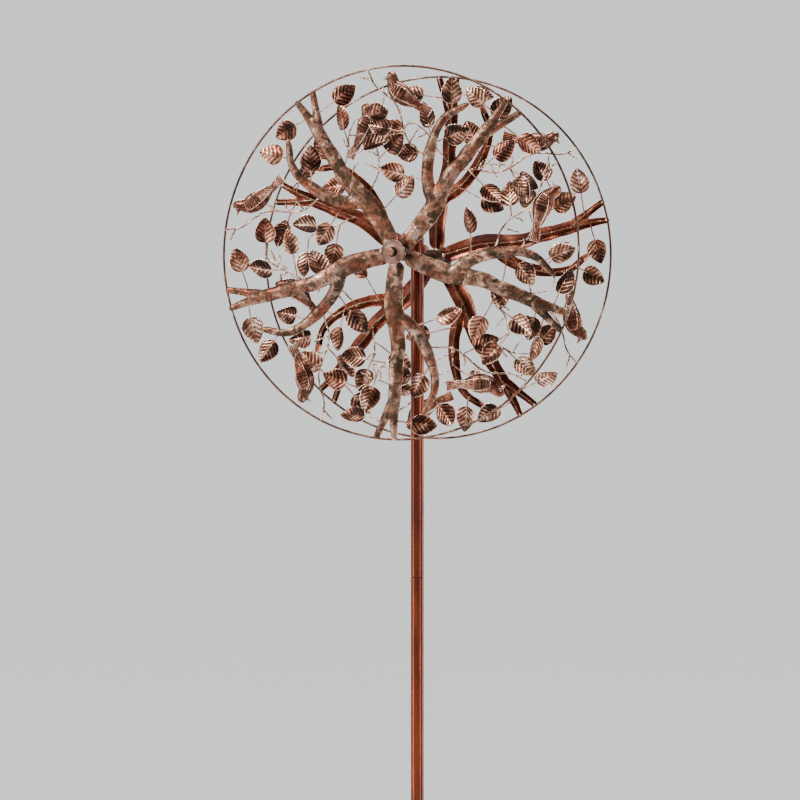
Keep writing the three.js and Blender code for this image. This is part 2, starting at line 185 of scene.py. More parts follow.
class Build:
    """Gathers vertices, faces, a material index per face and a value per vertex of wear and painted
    highlight.
    """

    def __init__(self):
        self.verts = []
        self.faces = []
        self.slots = []
        self.rub_and_highlight = []

    def add(self, verts, faces, rub_and_highlight=0.5, slot=0):
        start = len(self.verts)
        self.verts += [tuple(v) for v in verts]
        self.faces += [tuple(start + i for i in face) for face in faces]
        self.slots += [slot] * len(faces)
        self.rub_and_highlight += list(rub_and_highlight) if hasattr(rub_and_highlight, "__len__") else [rub_and_highlight] * len(verts)

    def mesh(self, name, matrix):
        mesh = bpy.data.meshes.new(name)
        mesh.from_pydata(self.verts, [], self.faces)
        mesh.polygons.foreach_set("material_index", self.slots)
        mesh.polygons.foreach_set("use_smooth", [True] * len(self.faces))
        layer = mesh.attributes.new("rub_and_highlight", "FLOAT", "POINT")
        layer.data.foreach_set("value", self.rub_and_highlight)
        mesh.transform(matrix)
        work = bmesh.new()
        work.from_mesh(mesh)
        bmesh.ops.recalc_face_normals(work, faces=work.faces)
        work.to_mesh(mesh)
        work.free()
        return mesh


def show(name, mesh, materials, body, replaced=()):
    obj = bpy.data.objects.new(name, mesh)
    bpy.context.scene.collection.objects.link(obj)
    for material in materials:
        mesh.materials.append(material)
    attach(obj, body)
    if replaced:
        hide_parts(*replaced)


def loft_faces(rows, sides):
    """Faces that join rows of points into a closed tube, with a flat end at either side."""
    faces = []
    for i in range(rows - 1):
        for k in range(sides):
            n = (k + 1) % sides
            faces.append((i * sides + k, i * sides + n, (i + 1) * sides + n, (i + 1) * sides + k))
    faces.append(tuple(reversed(range(sides))))
    faces.append(tuple(range((rows - 1) * sides, rows * sides)))
    return faces


def grid_faces(along, across):
    """Faces of a skin with that many squares each way."""
    row = across + 1
    corners = [j * row + i for j in range(along) for i in range(across)]
    return [(a, a + 1, a + row + 1, a + row) for a in corners]


def tube(build, points, radii, sides=8, rub_and_highlight=0.5):
    """A closed round tube with domed ends. Its frame is carried along without twisting."""
    dome = 0.6  # how far the ends stand out, and how narrow they are, as a share of the radius
    points = [Vector(p) for p in points]
    count = len(points)
    tangents = []
    for i in range(count):
        tangents.append((points[min(i + 1, count - 1)] - points[max(i - 1, 0)]).normalized())
    side = tangents[0].orthogonal().normalized()
    rings = []
    for i, (point, tangent) in enumerate(zip(points, tangents)):
        side = (side - tangent * side.dot(tangent)).normalized()
        up = tangent.cross(side)
        radius = radii[i] if hasattr(radii, "__len__") else radii
        if i == 0:
            rings.append((point - tangent * radius * dome, radius * dome, side, up))
        rings.append((point, radius, side, up))
        if i == count - 1:
            rings.append((point + tangent * radius * dome, radius * dome, side, up))
    verts = []
    for centre, radius, side, up in rings:
        for k in range(sides):
            angle = 2 * math.pi * k / sides
            verts.append(centre + (side * math.cos(angle) + up * math.sin(angle)) * radius)
    build.add(verts, loft_faces(len(rings), sides), rub_and_highlight)


def blob(build, centre, radius, seed, rub_and_highlight=0.6, slot=0):
    """A small lumpy ball, such as a bead of weld."""
    rows, sides = 5, 8
    lumps = 0.25
    verts = [Vector(centre) + Vector((0, 0, radius))]
    for i in range(1, rows):
        for k in range(sides):
            polar, around = math.pi * i / rows, 2 * math.pi * k / sides
            level = math.sin(polar)
            ray = Vector((level * math.cos(around), level * math.sin(around), math.cos(polar)))
            size = radius * (1 + lumps * noise.noise(ray * 2.1 + Vector((seed, 0, 0))))
            verts.append(Vector(centre) + ray * size)
    verts.append(Vector(centre) - Vector((0, 0, radius)))
    faces = []
    for k in range(sides):
        n = (k + 1) % sides
        faces.append((0, 1 + k, 1 + n))
        for i in range(rows - 2):
            row, below = 1 + i * sides, 1 + (i + 1) * sides
            faces.append((row + k, below + k, below + n, row + n))
        last = 1 + (rows - 2) * sides
        faces.append((last + k, len(verts) - 1, last + n))
    build.add(verts, faces, rub_and_highlight, slot)


def turned(build, profile, sides, axis):
    """A lathe shape about Y or Z from radius and height pairs, with both ends on the axis or closed."""
    closed = profile[0] == profile[-1]
    points = profile[:-1] if closed else profile
    verts, starts = [], []
    for radius, height in points:
        starts.append(len(verts))
        spots = [0.0] if radius == 0 else [2 * math.pi * k / sides for k in range(sides)]
        for angle in spots:
            a, b = radius * math.cos(angle), radius * math.sin(angle)
            verts.append((a, height, -b) if axis == "y" else (a, b, height))
    pairs = [(i, (i + 1) % len(points)) for i in range(len(points) if closed else len(points) - 1)]
    faces = []
    for i, j in pairs:
        for k in range(sides):
            n = (k + 1) % sides
            low = [starts[i]] if points[i][0] == 0 else [starts[i] + k, starts[i] + n]
            high = [starts[j]] if points[j][0] == 0 else [starts[j] + n, starts[j] + k]
            if len(low) + len(high) > 2:
                faces.append(tuple(low + high))
    build.add(verts, faces)


def rounded(profile, radius):
    """The same profile with its corners rounded by small arcs."""
    steps = 3
    closed = profile[0] == profile[-1]
    points = [Vector(p) for p in (profile[:-1] if closed else profile)]
    count = len(points)
    result = []
    for i, corner in enumerate(points):
        if not closed and i in (0, count - 1):
            result.append(tuple(corner))
            continue
        before = points[i - 1] - corner
        after = points[(i + 1) % count] - corner
        reach = min(radius, before.length * 0.45, after.length * 0.45)
        a, b = corner + before.normalized() * reach, corner + after.normalized() * reach
        for s in range(steps + 1):
            t = s / steps
            result.append(tuple(a * (1 - t) ** 2 + corner * 2 * t * (1 - t) + b * t ** 2))
    if closed:
        result.append(result[0])
    return result


def shell(build, verts, faces, drop, rub_and_highlight, slots=(0, 0, 0)):
    """A skin with a thickness: the faces, the same faces moved by drop and turned over, and a rim."""
    count = len(verts)
    back = [tuple(Vector(v) + Vector(drop)) for v in verts]
    edges = {}
    for face in faces:
        for a, b in zip(face, face[1:] + face[:1]):
            edges[(a, b)] = edges.get((a, b), 0) + 1
    rim = [(b, a) for (a, b) in edges if (b, a) not in edges]
    build.add(verts, faces, rub_and_highlight, slots[0])
    build.add(back, [tuple(reversed(face)) for face in faces], rub_and_highlight, slots[1])
    front_start = len(build.verts) - 2 * count
    back_start = len(build.verts) - count
    # The rim's vertices take the bright edge value: rubbed metal and painted highlight.
    for a, b in rim:
        build.faces.append((front_start + a, front_start + b, back_start + b, back_start + a))
        build.slots.append(slots[2])
        for i in (a, b):
            build.rub_and_highlight[front_start + i] = RIM_RUB_AND_HIGHLIGHT
            build.rub_and_highlight[back_start + i] = RIM_RUB_AND_HIGHLIGHT


# Branches

RIBBONS = [spline(ribbon, 90) for ribbon in (TRUNK, SIDE_BRANCH, LEFT_PRONG, RIGHT_PRONG)]


def branch_field(points):
    """How deep inside the branch points are, 1 on a centre line and 0 on the edge, and the half width."""
    inside, widths = [], []
    for ribbon in RIBBONS:
        away = np.linalg.norm(points[:, None, :] - ribbon[None, :, :2], axis=2) / ribbon[None, :, 2]
        inside.append(1 - away.min(axis=1))
        widths.append(ribbon[away.argmin(axis=1), 2])
    weight = np.exp(MERGE * np.array(inside))
    merged = np.log(weight.sum(axis=0)) / MERGE
    merged += np.array([OUTLINE_WAVER * noise.noise(Vector((x * 11, 0.5, z * 11))) for x, z in points])
    return merged, (weight * np.array(widths)).sum(axis=0) / weight.sum(axis=0)


def sheet_depth(points):
    """How far the front of the arched sheet stands in front of the ring's plane."""
    inside, width = branch_field(points)
    crown = np.minimum(CROWN, 0.4 * width * RING)
    arch = 1 - (1 - np.clip(inside, 0, 1)) ** 2.2
    return SHEET_BACK + SHEET_THICKNESS + crown * arch


def sheet_outline():
    """Faces of the branch in its plane, cut along its outline from a fine grid."""
    xs = np.arange(-0.33, 0.09, OUTLINE_PITCH)
    zs = np.arange(0.03, 1.02, OUTLINE_PITCH)
    grid = np.array([(x, z) for z in zs for x in xs])
    field = branch_field(grid)[0].reshape(len(zs), len(xs))
    points, index, faces = [], {}, []

    def vertex(key, x, z):
        if key not in index:
            index[key] = len(points)
            points.append((x, z))
        return index[key]

    for j in range(len(zs) - 1):
        for i in range(len(xs) - 1):
            corners = [(j, i), (j, i + 1), (j + 1, i + 1), (j + 1, i)]
            values = [field[c] for c in corners]
            if max(values) <= 0:
                continue
            face = []
            for k in range(4):
                a, b = corners[k], corners[(k + 1) % 4]
                fa, fb = values[k], values[(k + 1) % 4]
                if fa > 0:
                    face.append(vertex(a, xs[a[1]], zs[a[0]]))
                if (fa > 0) != (fb > 0):
                    t = fa / (fa - fb)
                    x = xs[a[1]] + (xs[b[1]] - xs[a[1]]) * t
                    z = zs[a[0]] + (zs[b[0]] - zs[a[0]]) * t
                    face.append(vertex(tuple(sorted((a, b))), x, z))
            if len(face) > 2:
                faces.append(tuple(face))
    return np.array(points), faces


OUTLINE_POINTS, OUTLINE_FACES = sheet_outline()
OUTLINE_DEPTH = sheet_depth(OUTLINE_POINTS)
OUTLINE_INSIDE = np.clip(branch_field(OUTLINE_POINTS)[0], 0, 1)


def bark_sheet(seed):
    """An arched sheet with hammered dents. Its front, its back and its rim have a material each."""
    build = Build()
    verts, rub_and_highlight = [], []
    for (x, z), depth, inside in zip(OUTLINE_POINTS, OUTLINE_DEPTH, OUTLINE_INSIDE):
        spot = Vector((x * 9, seed * 3.7, z * 5))
        dents = 0.9 * MM * noise.noise(spot) + 0.35 * MM * noise.noise(spot * 4.3)
        verts.append((x * RING, -depth + dents * min(1.0, inside * 4), z * RING))
        # Brighter towards the crest of the arch as a painted highlight, and in patches as wear.
        rub_and_highlight.append(0.35 + 0.4 * inside + 0.5 * noise.noise(spot * 2.0))
    shell(build, verts, OUTLINE_FACES, (0, SHEET_THICKNESS, 0), rub_and_highlight, (0, 1, 2))
    return build


def rib(build, stations):
    """A flat bar on edge along the back of a sheet, from inside its arch to behind the ring's plane."""
    path = spline(stations, 10 * len(stations))
    front = sheet_depth(path[:, :2]) - 0.5 * SHEET_THICKNESS
    outside = branch_field(path[:, :2])[0] < 0.1
    front[outside] = RIB_BACK
    steps = np.gradient(path, axis=0)
    verts = []
    half, cut, back = RIB_HALF_WIDTH, RIB_BEVEL, RIB_BACK
    for (x, z), (dx, dz), deep in zip(path, steps, front):
        along = Vector((dx, 0, dz)).normalized()
        across = Vector((along.z, 0, -along.x))
        centre = place(x, z)
        corners = [(-half, -deep + cut), (-half + cut, -deep), (half - cut, -deep), (half, -deep + cut),
                   (half, back - cut), (half - cut, back), (-half + cut, back), (-half, back - cut)]
        verts += [centre + across * u + Vector((0, w, 0)) for u, w in corners]
    build.add(verts, loft_faces(len(path), len(corners)), 0.4)


def rib_frame(seed):
    """The welded ribs of one arm, from the hub to the ring."""
    build = Build()
    trunk = [(x, z) for x, z, _ in TRUNK]
    side = [(x, z) for x, z, _ in SIDE_BRANCH]
    ring_inside = 1 - 2 * WIRE / RING
    rib(build, [(0, 0.044)] + trunk[:-1])
    rib(build, [(-0.012, 0.3)] + side[1:8])
    rib(build, [(-0.065, 0.79), (-0.075, 0.92), (-0.084, ring_inside)])
    rib(build, [(-0.065, 0.79), (-0.012, 0.91), (0.016, ring_inside)])
    for i, (x, z, size) in enumerate(RIB_WELDS):
        blob(build, place(x, z, 0.6), size * MM, seed + i)
    return build


# Twigs and leaves

def twigs(rng, seed):
    """Slightly bent wires that thin towards their tips, apart from the one that carries the bird."""
    build = Build()
    sides = 8
    for twig in TWIGS:
        samples = spline(twig, 5 * len(twig))
        last = len(samples) - 1
        points, radii = [], []
        for i, (x, z, depth) in enumerate(samples):
            wander = 0 if i in (0, last) else TWIG_WANDER
            bend = Vector([rng.uniform(-wander, wander) * MM for _ in range(3)])
            points.append(place(x, z, depth) + bend)
            knuckle = 1.12 if i % 5 == 0 else 1.0
            thin = 1.0 if twig is PERCH else 1.0 - 0.3 * i / last
            radii.append(TWIG * knuckle * thin)
        glint = rng.uniform(0, 50)
        count = sides * (len(points) + 2)
        shine = [0.5 + 0.55 * noise.noise(Vector((glint, 0.22 * i, 0))) for i in range(count)]
        tube(build, points, radii, sides, shine)
    for i, (x, z, depth) in enumerate(TWIG_WELDS):
        blob(build, place(x, z, depth), 2.1 * MM, seed + 0.3 * i, rub_and_highlight=0.8)
    return build


def leaf_blade(rng, size):
    """Points, faces and values of wear and painted highlight of one embossed leaf, with its base at the
    origin.
    """
    across, along = 30, 40
    cup = rng.uniform(-3.0, 3.0) * MM
    curl = rng.uniform(-6, 8) * MM
    twist = rng.uniform(-0.45, 0.45)
    fold = rng.choice((-1, 1, 1)) * rng.uniform(0.1, 0.4)
    spacing = rng.uniform(6.4, 7.8) * MM
    tone = rng.uniform(-0.02, 0.2)
    patch = Vector((rng.uniform(0, 90), 0, 0))
    verts, rub_and_highlight = [], []
    for j in range(along + 1):
        v = j / along
        s = v * LEAF_LENGTH
        width = LEAF_HALF_WIDTH * 2.43 * max(v, 0.004) ** 0.5 * max(1 - v, 0.0015) ** 0.86
        for i in range(across + 1):
            u = 2 * i / across - 1
            x = u * width
            phase = (s - 0.8 * abs(x) + 2.2 * MM) / spacing
            pleat = 1 - abs(2 * (phase % 1) - 1)
            shoulder = min(1.0, abs(x) / (2.0 * MM))
            midrib = math.exp(-(x / (0.8 * MM)) ** 2)
            rim = 1 - abs(u) ** 9
            relief = (1.7 * pleat ** 0.8 * rim * shoulder + 0.8 * midrib) * MM
            x *= 1 + 0.07 * (pleat - 0.5) * abs(u) ** 4
            bend = (cup * (x / LEAF_HALF_WIDTH) ** 2 + curl * (v - 0.25) ** 2 + twist * x * (v - 0.4)
                    + fold * abs(x))
            verts.append(Vector((x, -relief + bend, s)) * size)
            # Ridges, midrib and rim are painted bright, as rubbed high spots and painted highlight.
            ridge = max(pleat ** 8 * shoulder, midrib, 0.8 * abs(u) ** 30)
            # Broad patches of painted sheen across the leaf.
            sheen = noise.noise(Vector((u * 1.1, 0, v * 1.8)) + patch)
            rub_and_highlight.append(tone + 0.13 * pleat * shoulder + 0.45 * ridge * (0.75 + 0.9 * sheen)
                       + 0.35 * sheen + 0.06)
    return verts, grid_faces(along, across), rub_and_highlight


def leaf(build, rng, stem, tip, tilt):
    """One leaf on its stalk, turned and nodding a little at random."""
    stalk_points = 10
    root, point = place(*stem), place(*tip)
    size = rng.uniform(0.96, 1.07)
    direction = (point - root).normalized()
    base = point - direction * LEAF_LENGTH * size
    across = Vector((0, 1, 0)).cross(direction).normalized()
    turn = math.radians(tilt * 1.4 + rng.uniform(-20, 20))
    across = Matrix.Rotation(turn, 3, direction) @ across
    nod = Matrix.Rotation(math.radians(rng.uniform(-16, 16)), 3, across)
    blade_direction = nod @ direction
    out = blade_direction.cross(across)
    frame_matrix = Matrix((across, out, blade_direction)).transposed()
    verts, faces, rub_and_highlight = leaf_blade(rng, size)
    verts = [base + frame_matrix @ v for v in verts]
    shell(build, verts, faces, out * LEAF_THICKNESS, rub_and_highlight)
    sway = across * rng.uniform(-2.6, 2.6) * MM + out * rng.uniform(0, 1.5) * MM
    stalk = []
    end = base + blade_direction * 7 * MM + out * 0.9 * MM
    radii = []
    for i in range(stalk_points):
        t = i / (stalk_points - 1)
        stalk.append(root.lerp(end, t) + sway * math.sin(math.pi * min(1.0, t * 1.15)) * (1 - t))
        radii.append(TWIG * (0.95 - 0.35 * t))
    tube(build, stalk, radii, rub_and_highlight=0.42)
    blob(build, root, 1.7 * MM, rng.uniform(0, 50), rub_and_highlight=0.7)


def leaves(rng):
    build = Build()
    for stem, tip, tilt in LEAVES:
        leaf(build, rng, stem, tip, tilt)
    return build


# Birds. Places are in millimetres from the body's centre, in the arm's plane.

def streak(around, along):
    """Long narrow feathers, from 0 in their gaps to 1 on their ridges."""
    shifted = around + 0.35 * noise.noise(Vector((around * 0.6, along * 0.5, 1.5)))
    ridge = abs(math.sin(math.pi * shifted)) ** 0.7
    broken = 0.5 + 0.5 * noise.noise(Vector((round(shifted), along * 1.6, 4.0)))
    return ridge * (0.45 + 0.55 * min(1.0, broken * 1.5))


def bird_body(build):
    """A body with a streaked breast and flanks and a smooth back and head."""
    sections = spline(BIRD_BODY, 66)
    steps = np.gradient(sections[:, :2], axis=0)
    sides = 64
    verts, rub_and_highlight = [], []
    for j, ((x, z, width, depth), (dx, dz)) in enumerate(zip(sections, steps)):
        along = Vector((dx, 0, dz)).normalized()
        across = Vector((along.z, 0, -along.x))
        smooth = min(1.0, max(0.0, (z - 17) / 7))
        for k in range(sides):
            angle = 2 * math.pi * k / sides
            back = max(0.0, math.cos(angle))
            feather = streak(k / sides * 17, j * 0.2)
            plain = max(smooth, 0.75 * back ** 2)
            lift = 0.8 * feather * (1 - plain) * min(1.0, width / 9)
            radius_x, radius_y = width + lift - 0.5, depth + lift - 0.3
            spot = Vector((x, 0, z)) + across * radius_x * math.cos(angle)
            verts.append(Vector((spot.x, radius_y * math.sin(angle), spot.z)) * MM)
            # The back is painted lighter towards its middle line as a painted highlight. The gaps between
            # streaks are dark patina.
            rub_and_highlight.append((0.04 + 0.6 * feather ** 3) * (1 - plain) + (0.26 + 0.34 * back) * plain)
    build.add(verts, loft_faces(len(sections), sides), rub_and_highlight)


def feathered(build, spine, half_width, bulge, side, grooves, start):
    """A wing or tail skin along a spine of [x, z, depth]: short feathers first, then long ones."""
    across, along = 36, 44
    path = spline(spine, along + 1)
    steps = np.gradient(path[:, :2], axis=0)
    verts, rub_and_highlight = [], []
    for j in range(along + 1):
        v = j / along
        direction = Vector((steps[j][0], 0, steps[j][1])).normalized()
        cross = Vector((direction.z, 0, -direction.x))
        width = half_width(v)
        for i in range(across + 1):
            u = 2 * i / across - 1
            feather = (u * 0.5 + 0.5) * grooves
            groove = abs(math.sin(math.pi * feather)) ** 0.5
            row = v * 11
            from_middle = abs((feather + 0.5 * (int(row) % 2)) % 1 - 0.5) * 2
            short = 1 - (row % 1) - 0.7 * from_middle ** 2
            blend = min(1.0, max(0.0, (v - start) * 6))
            relief = blend * groove + (1 - blend) * max(0.0, short)
            edge = abs(u) ** 8 * (start > 0)
            depth = path[j][2] + bulge * (1 - u ** 4) + 0.9 * relief + 0.5 * edge
            end = 1 + 0.06 * groove * (v > 0.8)
            spot = Vector((path[j][0], 0, path[j][1])) + cross * u * width * end
            verts.append(Vector((spot.x, side * depth, spot.z)) * MM)
            # The wing's edges are painted bright, as rubbed metal and a painted highlight.
            rub_and_highlight.append(min(1.0, 0.12 + 0.16 * relief ** 2 + 0.3 * relief ** 8 + 0.55 * edge))
    faces = grid_faces(along, across)
    if side < 0:
        faces = [tuple(reversed(face)) for face in faces]
    shell(build, verts, faces, (0, -side * FEATHER_THICKNESS, 0), rub_and_highlight)


def tail_half_width(v):
    return 5.2 + 3.2 * v


def wing_half_width(v):
    return 10.2 * math.sin(math.pi * (0.16 + 0.82 * v)) ** 0.75


def bird_face(build):
    """A two-part beak, and an eye with a rim on either side."""
    tip = Vector((-15.5, 0, 35.2)) * MM
    for lift, size in ((0.8, 2.7), (-0.9, 2.2)):
        base = Vector((-7.2, 0, 31 + lift)) * MM
        points = [base.lerp(tip, t) for t in (0, 0.3, 0.6, 0.85, 1)]
        tube(build, points, [size * MM * s for s in (1, 0.8, 0.5, 0.25, 0.08)], sides=10, rub_and_highlight=0.55)
    for side in (-1, 1):
        eye = Vector((-3.6, side * 6.6, 31.6)) * MM
        blob(build, eye, 1.5 * MM, 7.0, rub_and_highlight=0.0, slot=1)
        rim = [eye + Vector((2.0 * math.cos(a), -side * 0.2, 2.0 * math.sin(a))) * MM
               for a in np.linspace(0, 2 * math.pi, 13)]
        tube(build, rim, 0.38 * MM, sides=6, rub_and_highlight=0.9)


def bird_legs(build):
    """Two bent legs, each with three toes hooked around the twig."""
    perch = Vector((-21, 13.5, -29)) * MM
    for shift in (0, 1):
        foot = perch + Vector((1.8, 0, 7.5)) * MM * shift
        hip = Vector((-7 + 2 * shift, 3, -17 + 4 * shift)) * MM
        knee = hip.lerp(foot, 0.55) + Vector((0, 2.5, -2)) * MM
        tube(build, [hip, knee, foot + Vector((1.5, -1, 0)) * MM], [1.5 * MM, 1.1 * MM, 1.0 * MM], rub_and_highlight=0.7)
        for turn in (-0.5, 0.0, 0.5):
            hook = []
            for i in range(6):
                angle = -1.2 + i * 0.62
                curl = Vector((2.2 * math.cos(angle), 2.0 * math.sin(angle), turn * (2 + i)))
                hook.append(foot + curl * MM)
            tube(build, hook, [0.75 * MM - 0.08 * MM * i for i in range(6)], sides=6, rub_and_highlight=0.8)


def bird():
    build = Build()
    bird_body(build)
    for side in (-1, 1):
        feathered(build, WING, wing_half_width, 1.4, side, 8, 0.4)
    for side in (-1, 1):
        feathered(build, TAIL, tail_half_width, 0.7, side, 5, 0.0)
    bird_face(build)
    bird_legs(build)
    return build


# Ring, hub, pole and stake

def ring(seed):
    """A round wire bent into a hoop that waves a little."""
    build = Build()
    around, sides = RING_POINTS, 12
    verts, rub_and_highlight = [], []
    for i in range(around):
        turn = 2 * math.pi * i / around
        out = Vector((math.cos(turn), 0, math.sin(turn)))
        wave = RING_WAVE * noise.noise(Vector((out.x * 2, seed, out.z * 2)))
        for k in range(sides):
            angle = 2 * math.pi * k / sides
            skin = WIRE + 0.06 * MM * noise.noise(Vector((i * 0.9, k * 0.8, seed)))
            radius = RING - abs(wave) + skin * math.cos(angle)
            verts.append(out * radius + Vector((0, wave + skin * math.sin(angle), 0)))
            rub_and_highlight.append(0.3 + 0.35 * noise.noise(Vector((i * 0.13, k * 0.3, seed))))
    faces = []
    for i in range(around):
        for k in range(sides):
            n, m = (k + 1) % sides, (i + 1) % around
            faces.append((i * sides + k, i * sides + n, m * sides + n, m * sides + k))
    build.add(verts, faces, rub_and_highlight)
    return build


def lathe(name, material, body, node, profile, cut, matrix=Matrix(), sides=64, axis="y"):
    """Shows a turned piece in place of a node, with its corners rounded by cut."""
    build = Build()
    turned(build, rounded(profile, cut), sides, axis)
    show(name, build.mesh(name, matrix), [material], body, [node])


def turned_box(node):
    """Radius and the lowest and highest y of a node turned about Y."""
    low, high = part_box(node)
    return (high[2] - low[2]) / 2, low[1], high[1]


def from_ring(node):
    """Radius and the lowest and highest y from the front ring's plane of a node turned about Y, in mm."""
    radius, low, high = turned_box(node)
    return radius / MM, (low - CENTRES["front"].y) / MM, (high - CENTRES["front"].y) / MM


def upright_box(node):
    """Radius and the lowest and highest z of a node turned about Z."""
    low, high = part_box(node)
    return (high[0] - low[0]) / 2, low[2], high[2]


def in_metres(profile):
    return [(r * MM, h * MM) for r, h in profile]


def rotor_matrix(side):
    """The rear rotor is turned half round the pole, so that its front faces backwards."""
    spin = math.pi if side == "rear" else 0.0
    return Matrix.Translation(CENTRES[side]) @ Matrix.Rotation(spin, 4, "Z")


def arm_turn(side, number):
    """How far an arm is turned about the axle from pointing straight up."""
    return math.radians(90 - FIRST_BRANCH[side] - 360 / ARMS * number)


def hub(side):
    """A tube with bearings, closed at the front by a dished disc with a ball nut in its middle."""
    matrix = rotor_matrix(side)
    body = f"{side}_rotor"
    axle_hole = 4.3
    groove_depth = 0.3
    fine_cut = 0.25 * MM
    cut = 0.3 * MM

    def piece(name, material, rides_on, node, profile, corner_cut, sides=64):
        lathe(f"{side}_{name}", material, rides_on, f"{side}_{node}", in_metres(profile), corner_cut,
              matrix, sides)

    radius, low, high = from_ring("front_hub_barrel")
    bore = radius - 3
    sunk = radius - groove_depth
    barrel = [(bore, low), (radius, low), (radius, low + 6), (sunk, low + 6.6), (sunk, low + 7.4),
              (radius, low + 8), (radius, high - 6), (sunk, high - 5.4), (sunk, high - 4.6),
              (radius, high - 4), (radius, high), (bore, high), (bore, low)]
    piece("barrel", HUB, body, "hub_barrel", barrel, cut)

    radius, low, high = from_ring("front_face_disc")
    disc = [(8, high - 2.4), (8.6, high - 3), (9.4, high - 2.6), (13.5, high - 2.3), (17.2, high - 2.5),
            (18.3, low + 0.2), (19.3, low + 0.1), (radius, low + 0.8), (radius, high - 0.1), (19.4, high),
            (8, high), (8, high - 2.4)]
    piece("disc", DISC, body, "face_disc", disc, fine_cut, 96)

    radius, low, high = from_ring("front_cap_nut")
    ball = [(0, low), (2.2, low + 0.3), (4.2, low + 1.5), (5.7, low + 3.4), (6.4, low + 5.6),
            (6.4, low + 7.4), (5.9, low + 9.4), (4.9, low + 10.8), (0, low + 10.8)]
    piece("ball_nut", NUT, "stand", "cap_nut", ball, cut)
    neck = [(0, low + 10.7), (4.3, low + 10.7), (4.3, high - 3.4), (4.8, high - 3), (4.8, high), (0, high)]
    piece("nut_neck", HUB, "stand", "cap_nut", neck, cut)

    radius, low, high = from_ring("front_thrust_washer")
    washer = [(axle_hole, low), (radius, low), (radius, high), (axle_hole, high), (axle_hole, low)]
    piece("washer", DARK_STEEL, "stand", "thrust_washer", washer, fine_cut)

    radius, low, high = from_ring("front_axle_sleeve")
    middle = (low + high) / 2
    sunk = radius - groove_depth
    sleeve = [(axle_hole, low), (radius, low), (radius, middle - 0.9), (sunk, middle - 0.5),
              (sunk, middle + 0.5), (radius, middle + 0.9), (radius, high), (axle_hole, high),
              (axle_hole, low)]
    piece("sleeve", DARK_STEEL, "stand", "axle_sleeve", sleeve, cut)

    welds = Build()
    for number in range(ARMS):
        turn = Matrix.Rotation(arm_turn(side, number), 3, "Y")
        for shift, depth in ((-1, -1.5), (1, -1.5), (0, 2.2)):
            spot = Vector((shift * 1.6 * MM, depth * MM, 13.2 * MM))
            blob(welds, turn @ spot, 1.7 * MM, 3.1 * number + shift)
    name = f"{side}_hub_welds"
    show(name, welds.mesh(name, matrix), [LEAF], body)


def stand():
    """The axle, the pole from its foot to its cap, and the stake."""
    radius, low, high = turned_box("axle")
    end = 0.8 * MM
    axle = [(0, low), (radius - end, low), (radius, low + end), (radius, high - end),
            (radius - end, high), (0, high)]
    at_axle = Matrix.Translation((0, 0, AXLE_Z))
    lathe("spin_axle", STEEL, "stand", "axle", axle, 0.2 * MM, at_axle)

    seam = None
    for section in ("lower", "middle", "upper"):
        radius, low, high = upright_box(f"pole_{section}")
        low = low if seam is None else seam
        seam = high
        bore = radius - 1.4 * MM
        cut = 0.9 * MM
        profile = [(bore, low), (radius - cut, low), (radius, low + cut), (radius, high - cut),
                   (radius - cut, high), (bore, high), (bore, low)]
        lathe(f"pole_tube_{section}", POLE, "stand", f"pole_{section}", profile, 0.4 * MM,
              sides=96, axis="z")

    radius, low, high = upright_box("pole_cap")
    cap = [(0, low), (radius, low), (radius, low + 3 * MM), (radius * 0.86, low + 6.4 * MM),
           (radius * 0.5, high - 0.6 * MM), (0, high)]
    lathe("pole_top_cap", DISC, "stand", "pole_cap", cap, 1.2 * MM, axis="z")

    radius, low, high = upright_box("stake_socket")
    bore = radius - 2.2 * MM
    lip = 1.2 * MM
    groove = radius - 0.4 * MM
    socket = [(bore, low), (radius, low), (radius, high - 9 * MM), (groove, high - 8 * MM),
              (groove, high - 7 * MM), (radius, high - 6 * MM), (radius, high - lip),
              (radius - lip, high), (bore, high), (bore, low)]
    lathe("stake_pole_socket", STAKE, "stand", "stake_socket", socket, 0.4 * MM, axis="z")

    bead = Build()
    beads = 40
    on_strap = 9.6 * MM  # from a strap's middle nearly to its edge
    for i in range(beads):
        turn = 2 * math.pi * i / beads
        out = Vector((math.cos(turn), math.sin(turn), 0))
        spot = out * (radius - 0.6 * MM) + Vector((0, 0, low + 1.2 * MM))
        if abs(spot.x) < on_strap or abs(spot.y) < on_strap:
            blob(bead, spot, 1.7 * MM, 0.7 * i)
    show("stake_weld_bead", bead.mesh("stake_weld_bead", Matrix()), [STAKE], "stand")

    for strap in ("stake_strap_lower", "stake_strap_upper"):
        node = frame["nodes"][strap]
        bevel = node.modifiers.new("soft_edges", "BEVEL")
        bevel.width = 0.6 * MM
        bevel.segments = 2
        bevel.limit_method = "ANGLE"
        recoat(node, STAKE)


def recoat(node, material):
    """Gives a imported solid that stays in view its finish."""
    node.data.materials.clear()
    node.data.materials.append(material)


# Materials

